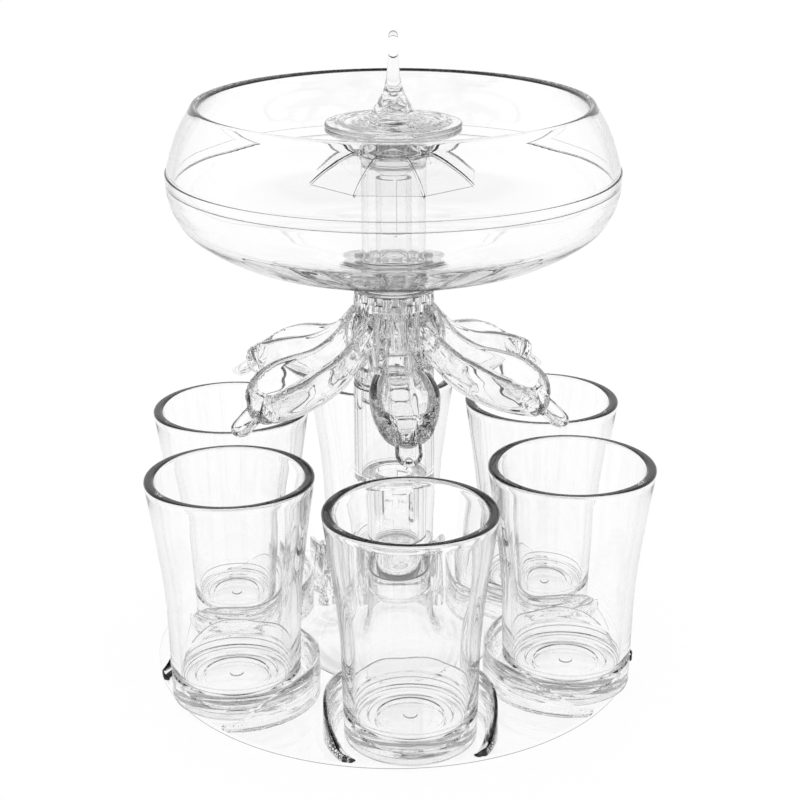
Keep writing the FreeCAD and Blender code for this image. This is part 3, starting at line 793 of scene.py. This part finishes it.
# %% The arm's skin
RING_MARK_U, RING_MARK_R = 28.0, 2.6
ICICLE_WIDTH, ICICLE_LENGTH, FROTH_GRAIN, FROTH_HEIGHT = 1.3, 9, 1.0, 0.26


def arm_skin(p):
    """Icicles down the root, a calm hull, froth on the blunt end, a ring in the channel floor."""
    root = ramp(math.hypot(p.x, p.y), 12.4, 13.2) * ramp(p.x, 21.0, 14.5) * ramp(abs(p.y), 3.3, 4.2)
    down, across = (p.x - p.z) * 0.7, (p.x + p.z) * 0.7
    strand = Vector((across / ICICLE_WIDTH, p.y / ICICLE_WIDTH, down / ICICLE_LENGTH))
    icicles = root * (0.25 - abs(noise.noise(strand)))
    top = float(along_arm(p.x, 2))
    crest = ramp(p.x, 38.0, 43.0) * ramp(p.z, top - 2.5, top - 0.5)
    end_face = ramp(p.x, 45.0, 47.5) * ramp(abs(p.y), 3.2, 4.2) * ramp(p.z, 86.5, 88.0)
    froth = max(crest, end_face) * ramp(p.x, 50.6, 49.6) * FROTH_HEIGHT * swell(p, (FROTH_GRAIN,) * 3, 9.0)
    calm = 0.05 * swell(p, (9.0, 3.0, 4.0))
    from_mark = abs(math.hypot(p.x - RING_MARK_U, p.y) - RING_MARK_R)
    mark = -0.22 * ramp(from_mark, 0.6, 0.1) if p.z > 90.5 and abs(p.y) < 3.4 else 0.0
    return calm + icicles + froth + mark


print("skin height on the hull:", round(arm_skin(Vector((30.0, 0.0, 87.0))), 3), "mm")

# %% Cast the arms
ARM_BOX, ARM_STEP = ((9.5, -11.5, 81.5), (59, 11.5, 120)), 0.4
arm_form = sculpt(arm_shape, *ARM_BOX, ARM_STEP, arm_skin)
for i in range(6):
    arm = cast("spout_arm_%d_cast" % (i + 1), arm_form, place(i))
    dress(arm, arm_acrylic, "head", "arm_acrylic", "spout_arm_%d" % (i + 1))
print("arm points:", len(arm.data.vertices))

# %% [markdown]
# ## The plunger
#
# Inside the bowl a wide clear tube lifts with the knob and closes the drain with its flange. A
# narrower slotted guide tube stands inside it, and a stem hangs in that. They are concentric turned
# parts, and the vertical grey streaks in the middle of the bowl come from their walls alone.

# %% Guide tube
GUIDE_R, GUIDE_BORE_R, GUIDE_Z1 = 5.3, 4.05, 153.8


def guide_slot(angle, z):
    return abs(angle_from(-90, angle)) < 6 and z > 136.0


bm = bmesh.new()
panel_wall(bm, GUIDE_R, GUIDE_BORE_R, [90.9, 100.0, 112.0, 124.0, 136.0, 145.0, GUIDE_Z1], 4, guide_slot)
guide = finish_mesh("guide_tube_wall", bm)
dress(guide, acrylic, "head", "plunger_acrylic", "guide_tube")
print("guide tube made")

# %% Plunger tube, stem, seal
STOP_Z, STOP_R, TUBE_R, TUBE_BORE_R, TUBE_TOP, HOLE_R = 126.52, 15.7, 9.5, 7.8, 160.0, 5.19
flange = [(STOP_R, STOP_Z, 0.05), (STOP_R, STOP_Z + 0.14, 0.05), (13.6, STOP_Z + 0.42, 0.6),
          (11.8, STOP_Z + 0.5, 0.6)]
tube_line = outline([(TUBE_BORE_R, STOP_Z, 0.3)] + flange + [
    (TUBE_R, STOP_Z + 1.1, 0.8), (TUBE_R, 158.6, 0.4), (9.95, 158.8, 0.3), (9.95, TUBE_TOP, 0.1),
    (HOLE_R, TUBE_TOP), (HOLE_R, 157.6, 0.2), (TUBE_BORE_R, 157.6, 0.8)])
plunger_tube = lathe("plunger_tube_wall", tube_line)
dress(plunger_tube, acrylic, "plunger", "plunger_acrylic", "plunger_tube")
stem = lathe("plunger_stem_rod", outline([(0, 137.0), (3.95, 137.0, 0.9), (3.95, 163.4, 0.2), (0, 163.4)],
                                         False), 64)
dress(stem, acrylic, "plunger", "plunger_acrylic", "plunger_stem")
seal = lathe("stopper_seal_ring", outline([(9.85, 125.3, 0.4), (11.5, 125.3, 0.8), (15.2, 126.2, 0.2),
                                           (15.2, 126.5, 0.1), (9.85, 126.5, 0.1)]))
dress(seal, seal_silicone, "plunger", "seal_silicone", "stopper_seal")
print("plunger parts made")

# %% [markdown]
# ## The canopy
#
# A small eight-sided umbrella sits on the tube. Its panels are flat across, like cloth between
# ribs, and bend down late, so the hem hangs steeply. It is modelled as panels: each gore is a grid
# between two ribs, and only the middle is thick enough to take the tube's end. The sheet is thin
# and even, so the hem stays a fine line, and a bead along every rib makes it read darker. Where the
# middle parts touch they overlap by a hair, because an air gap there would mirror like silver.

# %% Canopy profile
CANOPY_R, CANOPY_SAG, CANOPY_T, CANOPY_TOP, CANOPY_CURVE = 25.7, 9.0, 0.42, 162.4, 2.8
CANOPY_TURN, SEAT_R, SEAT_UNDER = -7.4, 9.6, 159.99
APOTHEM = CANOPY_R * math.cos(math.pi / 8)


def canopy_top(t):
    return CANOPY_TOP - CANOPY_SAG * (t / APOTHEM) ** CANOPY_CURVE


def canopy_sheet(t):
    """Thickness of the sheet: even, with a finer hem."""
    return CANOPY_T * (1 - 0.65 * max(0.0, t / APOTHEM - 0.9) / 0.1)


steps = [HOLE_R + (APOTHEM - HOLE_R) * k / 24 for k in range(25)]
upper_line = [(t, canopy_top(t)) for t in steps]
under_line = [(HOLE_R, SEAT_UNDER), (SEAT_R, SEAT_UNDER)]
under_line += [(t, canopy_top(t) - canopy_sheet(t)) for t in steps if t > SEAT_R + 1.6]


print("canopy profile:", len(upper_line), "points above,", len(under_line), "below")

# %% Canopy gores
# columns of a gore: share of its half width, and how far in from the rib, in millimetres
COLUMNS = [(-1, 0), (-1, 0.12), (-1, 0.28), (-1, 0.45), (-0.5, 0), (0, 0), (0.5, 0), (1, 0.45), (1, 0.28),
           (1, 0.12), (1, 0)]
BEAD_HALF, BEAD_UP, BEAD_DOWN = 0.45, 0.35, 0.6
COLLAR_FOOT, COLLAR_BEAD = 9.5, 0.04      # under the collar the bead is nearly nothing


def gore_point(gore, column, t, z, bead):
    share, inset = column
    side = share * (t * math.tan(math.pi / 8) - inset)
    z += bead * (1 - inset / BEAD_HALF) if abs(share) == 1 else 0.0
    a = math.radians(-90 + CANOPY_TURN + 45 * gore)
    return Vector((t * math.cos(a) - side * math.sin(a), t * math.sin(a) + side * math.cos(a), z))


bm = bmesh.new()
profile = upper_line + under_line[::-1]
beads = [COLLAR_BEAD if t < COLLAR_FOOT else BEAD_UP for t in steps]
beads += [-BEAD_DOWN if t > SEAT_R + 0.2 else 0.0 for t, z in under_line[::-1]]
for gore in range(8):
    rows = [[bm.verts.new(gore_point(gore, column, t, z, bead)) for column in COLUMNS]
            for (t, z), bead in zip(profile, beads)]
    for r in range(len(rows)):
        for c in range(len(COLUMNS) - 1):
            bm.faces.new((rows[r - 1][c], rows[r - 1][c + 1], rows[r][c + 1], rows[r][c]))
canopy = finish_mesh("canopy_umbrella", bm, 20)
dress(canopy, acrylic, "plunger", "plunger_acrylic", "canopy")
print("canopy panels:", len(canopy.data.polygons))

# %% [markdown]
# ## Collar and knob
#
# The knob is a drop that has just left the water: a disc of two round-edged layers with ripples on
# it, a rising cone and a rounded tip. It is hollow from below, up to a dimpled end, and solid above.
# The large ripples are turned into the outline itself, because rings made by bump alone would
# vanish at the disc's edge. Finer ones run out from a second centre and are added to the points.

# %% Collar
collar_line = outline([(3.94, 156.0, 0.2), (5.2, 156.0, 0.3), (5.2, 162.38), (8.8, 162.38, 0.1),
                       (9.4, 163.4, 1.0), (11.0, 165.2, 1.0), (11.0, 167.2, 0.3), (6.1, 167.2, 0.2),
                       (6.1, 163.55, 0.2), (3.94, 163.55)])
collar = lathe("knob_collar_ring", collar_line)
dress(collar, acrylic, "plunger", "plunger_acrylic", "knob_collar")
print("collar points:", len(collar.data.vertices))

# %% Knob
DISC_Z0, DISC_LAYER, DISC_R, KNOB_TOP = 167.22, 1.35, 20.1, 196.1
SECOND_CENTRE, SECOND_WAVES, SECOND_HEIGHT = (1.2, -1.6), 3.6, 0.16
AXIS_WAVES, AXIS_HEIGHT, WAVES_END = 6.1, 0.09, 18.5
mid_z, top_z = DISC_Z0 + DISC_LAYER, DISC_Z0 + 2 * DISC_LAYER + 0.05
disc_edge = outline([(17.0, DISC_Z0), (20.05, DISC_Z0, 0.55), (20.05, mid_z, 0.5), (19.2, mid_z + 0.05, 0.1),
                     (DISC_R, mid_z + 0.1, 0.5), (DISC_R, top_z, 0.65), (17.6, top_z)], False)
# radius and height above the disc
DROP = [(17.6, 0.0), (16.3, 0.05), (14.6, 0.6), (12.8, 0.1), (11.0, 0.5), (9.3, 0.9), (8.3, 1.9), (7.5, 1.7),
        (6.9, 2.8), (6.3, 2.9), (5.6, 4.2), (4.3, 6.1), (3.0, 9.0), (2.15, 12.0), (1.75, 15.5), (1.45, 19.0),
        (1.42, 21.5), (1.5, 23.6), (1.2, 25.3), (0.6, 25.95)]
dome = curve_through([(r, top_z + rise) for r, rise in DROP], 5)
hollow_line = outline([(0, 176.9), (1.1, 177.0, 0.3), (1.9, 177.6, 0.3), (2.5, 177.5, 0.3), (2.9, 176.7)],
                      False)
hollow_line += curve_through([(2.9, 176.7), (3.4, 175.0), (4.4, 172.5), (5.3, 170.6), (5.3, 169.3),
                              (4.5, 167.8), (4.4, 163.7)], 6)[1:]
knob_line = outline([(4.4, 163.65), (6.0, 163.65, 0.2), (6.0, DISC_Z0, 0.2), (17.0, DISC_Z0)], False)
knob_line += disc_edge[1:] + dome[1:] + [(0, KNOB_TOP)]
knob = lathe("knob_drop", hollow_line[:-1] + knob_line, 160)
for vertex in knob.data.vertices:
    x, y, z = vertex.co / MM
    from_axis = math.hypot(x, y)
    if z > top_z - 0.1 and 1.0 < from_axis < WAVES_END:
        second = math.hypot(x - SECOND_CENTRE[0], y - SECOND_CENTRE[1])
        fade = min(1.0, (from_axis - 1.0) / 3.0, WAVES_END - from_axis)
        waves = SECOND_HEIGHT * math.sin(second * SECOND_WAVES)
        vertex.co.z += MM * fade * (waves + AXIS_HEIGHT * math.sin(from_axis * AXIS_WAVES + 1))
dress(knob, acrylic, "plunger", "knob_acrylic", "knob")
print("knob points:", len(knob.data.vertices))

# %% [markdown]
# ## Splash rings and crowns
#
# Round every glass stands a wave: a C-shaped wall that is high on the column's side and sinks to
# two drops at the tray's edge. Outside it is smooth, and its sloping inner face carries flow lines.
# Beside the back glass two crowns of pointed splashes rise, with pearls at their foot. Both are cast
# from distance functions like the arms: the wave's height follows a table of angles, the spikes
# grow together with round necks, and one sculpture serves every place.

# %% Splash rings
RING_R_IN, RING_R_OUT, RING_H, RING_TIP = 21.6, 25.5, 13.2, 49
FLOW_LENGTH, FLOW_WIDTH, FLOW_HEIGHT = 14.0, 0.9, 0.26
RING_BOX, RING_STEP = ((31, -27, 1.2), (78, 27, 15.8)), 0.42
# degrees round the glass from the outward direction, share of the crest height
WALL = [(49, 0.18), (55, 0.205), (61, 0.26), (67, 0.39), (75, 0.59), (86, 0.77), (98, 0.91), (115, 0.985),
        (140, 0.94), (160, 1.0), (180, 0.955)]
CREST = np.array(curve_through(WALL))


def ring_shape(points):
    x, y, z = points.T
    r = np.hypot(x - PITCH_R, y)
    deg = np.degrees(np.abs(np.arctan2(y, x - PITCH_R)))
    height = np.interp(deg, CREST[:, 0], CREST[:, 1]) * RING_H
    share = np.clip((z - TRAY_T) / height, 0, 1)
    inner, outer = RING_R_IN + 3.0 * share ** 1.1, RING_R_OUT + 0.3 * share - 0.5 * share ** 2
    wall = round_max(inner - r, r - outer, 0.5)
    wall = round_max(wall, z - TRAY_T - height, 0.5)
    wall = round_max(wall, np.radians(RING_TIP - deg) * r, 0.4)
    return np.maximum(np.maximum(wall, TRAY_TOP - z), np.hypot(x, y) - TRAY_R - 0.6)


def ring_skin(p):
    if p.z < TRAY_TOP + 0.3:
        return 0.0
    angle = math.atan2(p.y, p.x - PITCH_R)
    r = math.hypot(p.x - PITCH_R, p.y)
    flow = noise.noise(Vector((angle * r / FLOW_LENGTH, p.z / FLOW_WIDTH, r / FLOW_WIDTH)))
    inside = FLOW_HEIGHT * ramp(r, 25.0, 24.4) * flow
    return ramp(p.z, TRAY_TOP, TRAY_TOP + 1.5) * (inside + 0.05 * swell(p, (6.0, 6.0, 6.0), 3.0))


ring_form = sculpt(ring_shape, *RING_BOX, RING_STEP, ring_skin)
for i in range(6):
    ring = cast("splash_ring_%d_wave" % (i + 1), ring_form, place(i))
    dress(ring, splash_acrylic, "base", "splash_acrylic", "splash_ring_%d" % (i + 1))
print("ring points:", len(ring.data.vertices))

# %% Splash crowns
CROWN_DEG, CROWN_U, CROWN_H = (60.0, 120.0), 35.6, 21.0
# from the main peak: distance outwards, sideways, base radius, share of the height, lean outwards
PEAKS = [(0.0, 0.3, 3.7, 1.0, 0.0), (-1.4, 4.6, 2.2, 0.62, -0.2), (-1.2, -4.7, 2.2, 0.76, -0.2),
         (3.5, -0.3, 2.8, 0.9, 0.5), (6.9, 0.0, 2.5, 0.84, 0.8), (9.8, 0.0, 2.3, 0.76, 0.8)]
# beside the peaks: distance outwards, sideways, radius
PEARLS = [(1.6, 3.4, 1.2), (2.0, -3.4, 1.3), (5.2, 2.6, 0.9), (5.0, -2.9, 1.0), (-3.4, 2.6, 1.0),
          (-3.2, -2.4, 0.8), (9.0, 2.6, 0.9), (9.2, -2.7, 0.8)]
CROWN_BOX, CROWN_STEP = ((26, -10, 1.2), (52, 10, 24)), 0.36


def crown_shape(points):
    x, y, z = points.T
    crown = np.full(len(points), 9.0)
    for du, v, half, share, lean in PEAKS:
        tall = share * CROWN_H
        up = np.clip((z - TRAY_T) / tall, 0, 1)
        radius = half * (1 - up) ** 0.75 + 0.5
        spike = np.hypot(x - CROWN_U - du - lean * up ** 2, y - v) - radius
        spike = round_max(spike, z - TRAY_T - tall + 0.3, 0.6)
        crown = round_min(crown, spike, 1.6)
    for du, v, radius in PEARLS:
        centre = np.array((CROWN_U + du, v, TRAY_T + radius * 0.95))
        crown = round_min(crown, np.linalg.norm(points - centre, axis=1) - radius, 0.3)
    return np.maximum(crown, TRAY_TOP - z)


def crown_skin(p):
    if p.z < TRAY_TOP + 0.3:
        return 0.0
    start = min(1.0, (p.z - TRAY_TOP) / 2.0)
    foot = ramp(p.z, 9.0, 5.0)
    return start * (0.3 * swell(p, (2.6, 2.6, 5.0), 7.0) + 0.3 * foot * swell(p, (1.1, 1.1, 1.3), 1.0))


crown_form = sculpt(crown_shape, *CROWN_BOX, CROWN_STEP, crown_skin)
for i, crown_deg in enumerate(CROWN_DEG):
    crown = cast("splash_crown_%d_peaks" % (i + 1), crown_form, math.radians(crown_deg))
    dress(crown, splash_acrylic, "base", "splash_acrylic", "splash_crown_%d" % (i + 1))
print("crown points:", len(crown.data.vertices))

# %% [markdown]
# ## Floor and light
#
# Clear plastic is drawn by what surrounds it. A plain white room would make it vanish, so the room
# stays white around the horizon but has a black patch overhead. Only rays that come off or through
# the plastic see that patch: what the camera sees directly is white. The floor is white too, but a
# ray that has been mirrored more than once in the plastic finds it darker, and that draws the grey
# lines of the thin walls. Light that a matt surface gathers comes from an evenly white room, so a
# matt grey keeps its grey, and the shadow of clear plastic stays light.

# %% Floor
FLOOR_GLOW, FLOOR_GLOW_MIRRORED, FLOOR_PAINT = 0.93, 0.12, 0.08
WHITE_UP_TO, DARK_FROM = 1.0, 2.5       # how often a ray has been mirrored
FLOOR_REACH = 30000
FLOOR_Z = 0.02      # wets the tray's underside, so that light passes straight into the floor
bm = bmesh.new()
bmesh.ops.create_circle(bm, cap_ends=True, radius=FLOOR_REACH, segments=64)
floor = finish_mesh("floor", bm)
floor.location.z = FLOOR_Z * MM
floor_paint, floor_nodes, floor_links, paint = new_material("floor_paint")
set_inputs(paint, {"Base Color": (FLOOR_PAINT,) * 3 + (1,), "Roughness": 0.9,
                   "Specular IOR Level": 0.0, "Emission Color": WHITE})
floor_path = floor_nodes.new("ShaderNodeLightPath")
# Painted shade: a ray mirrored more than once in the plastic sees the floor glow dimmer, and that draws the
# grey lines of the thin walls.
mirrored = feed_range(floor_nodes, floor_links, floor_path.outputs["Glossy Depth"], FLOOR_GLOW,
                      FLOOR_GLOW_MIRRORED, paint.inputs["Emission Strength"])
set_inputs(mirrored, {"From Min": WHITE_UP_TO, "From Max": DARK_FROM})
floor.data.materials.append(floor_paint)
print("floor set")

# %% The room's greys
world = bpy.data.worlds.new("white_room")
bpy.context.scene.world = world
world.use_nodes = True
nodes, links = world.node_tree.nodes, world.node_tree.links
nodes.clear()
direction = nodes.new("ShaderNodeTexCoord")
split = nodes.new("ShaderNodeSeparateXYZ")
links.new(direction.outputs["Generated"], split.inputs["Vector"])
ceiling = nodes.new("ShaderNodeValToRGB")
SKY = [(0.56, 1.0), (0.70, 0.80), (0.78, 0.55), (0.83, 0.02)]    # height of the direction, grey
stops = ceiling.color_ramp.elements
stops.remove(stops[1])
stops[0].position = SKY[0][0]
for height, grey in SKY[1:]:
    stops.new(height)
for stop, (height, grey) in zip(stops, SKY):
    stop.color = (grey, grey, grey, 1)
links.new(split.outputs["Z"], ceiling.inputs["Fac"])
print("greys from the horizon up:", [grey for height, grey in SKY])

# %% Which rays see them
paths = nodes.new("ShaderNodeLightPath")
bent, fresh, both = (nodes.new("ShaderNodeMath") for _ in range(3))
bent.operation, fresh.operation, both.operation = "MAXIMUM", "LESS_THAN", "MULTIPLY"
links.new(paths.outputs["Is Glossy Ray"], bent.inputs[0])
links.new(paths.outputs["Is Transmission Ray"], bent.inputs[1])
fresh.inputs[1].default_value = 0.5
links.new(paths.outputs["Diffuse Depth"], fresh.inputs[0])
links.new(bent.outputs["Value"], both.inputs[0])
links.new(fresh.outputs["Value"], both.inputs[1])
seen = nodes.new("ShaderNodeMix")
seen.data_type = "RGBA"
seen.inputs["A"].default_value = WHITE
links.new(both.outputs["Value"], seen.inputs["Factor"])
links.new(ceiling.outputs["Color"], seen.inputs["B"])
glow = nodes.new("ShaderNodeBackground")
links.new(seen.outputs["Result"], glow.inputs["Color"])
glow.inputs["Strength"].default_value = 1.0
out = nodes.new("ShaderNodeOutputWorld")
links.new(glow.outputs["Background"], out.inputs["Surface"])
print("room: white walls, black overhead for bent rays")

# %% [markdown]
# ## Camera
#
# The camera stands half a metre away, a little above the knob, with a short telephoto lens. Its
# place was found by fitting one perspective to the rims, so the axes below are written out:
# pan, pitch and roll turn the view, and the model's first glass is 4.4 degrees to the right of it.

# %% Camera
CAMERA_DISTANCE, CAMERA_HEIGHT = 504.28, 267.74
PAN, PITCH, ROLL = 0.20200, 20.0433, -0.10276
FIRST_GLASS_TURN = 4.3677
IMAGE_SIDE, FOCAL_PX = 800, 1746.58

pan, pitch, roll = (math.radians(a) for a in (PAN, PITCH, ROLL))
forward = Vector((math.sin(pan) * math.cos(pitch), math.cos(pan) * math.cos(pitch), -math.sin(pitch)))
right = forward.cross(Vector((0, 0, 1))).normalized()
up = right.cross(forward)
x_axis = right * math.cos(roll) + up * math.sin(roll)
y_axis = up * math.cos(roll) - right * math.sin(roll)
camera = add_object("camera", bpy.data.cameras.new("camera"))
camera.data.sensor_width = 36
camera.data.lens = 36 * FOCAL_PX / IMAGE_SIDE
pose = Matrix((x_axis, y_axis, -forward)).transposed().to_4x4()
pose.translation = Vector((0, -CAMERA_DISTANCE, CAMERA_HEIGHT)) * MM
camera.matrix_world = Matrix.Rotation(math.radians(-FIRST_GLASS_TURN), 4, "Z") @ pose
bpy.context.scene.camera = camera
print("lens", round(camera.data.lens, 1), "mm")

# %% [markdown]
# ## Path lengths and colour
#
# A ray through this dispenser crosses dozens of faces, so it may bend 32 times. Mirrored steps stop
# at eight: light that would bounce on along a thick rim ends dark there, as on the real moulding.
# The Standard view keeps the white room white.

# %% Render path lengths and colour
scene = bpy.context.scene
scene.view_settings.view_transform = "Standard"
scene.cycles.max_bounces = 32
scene.cycles.transmission_bounces = 32
scene.cycles.glossy_bounces = 8
scene.cycles.transparent_max_bounces = 16
print("longest path:", scene.cycles.max_bounces)
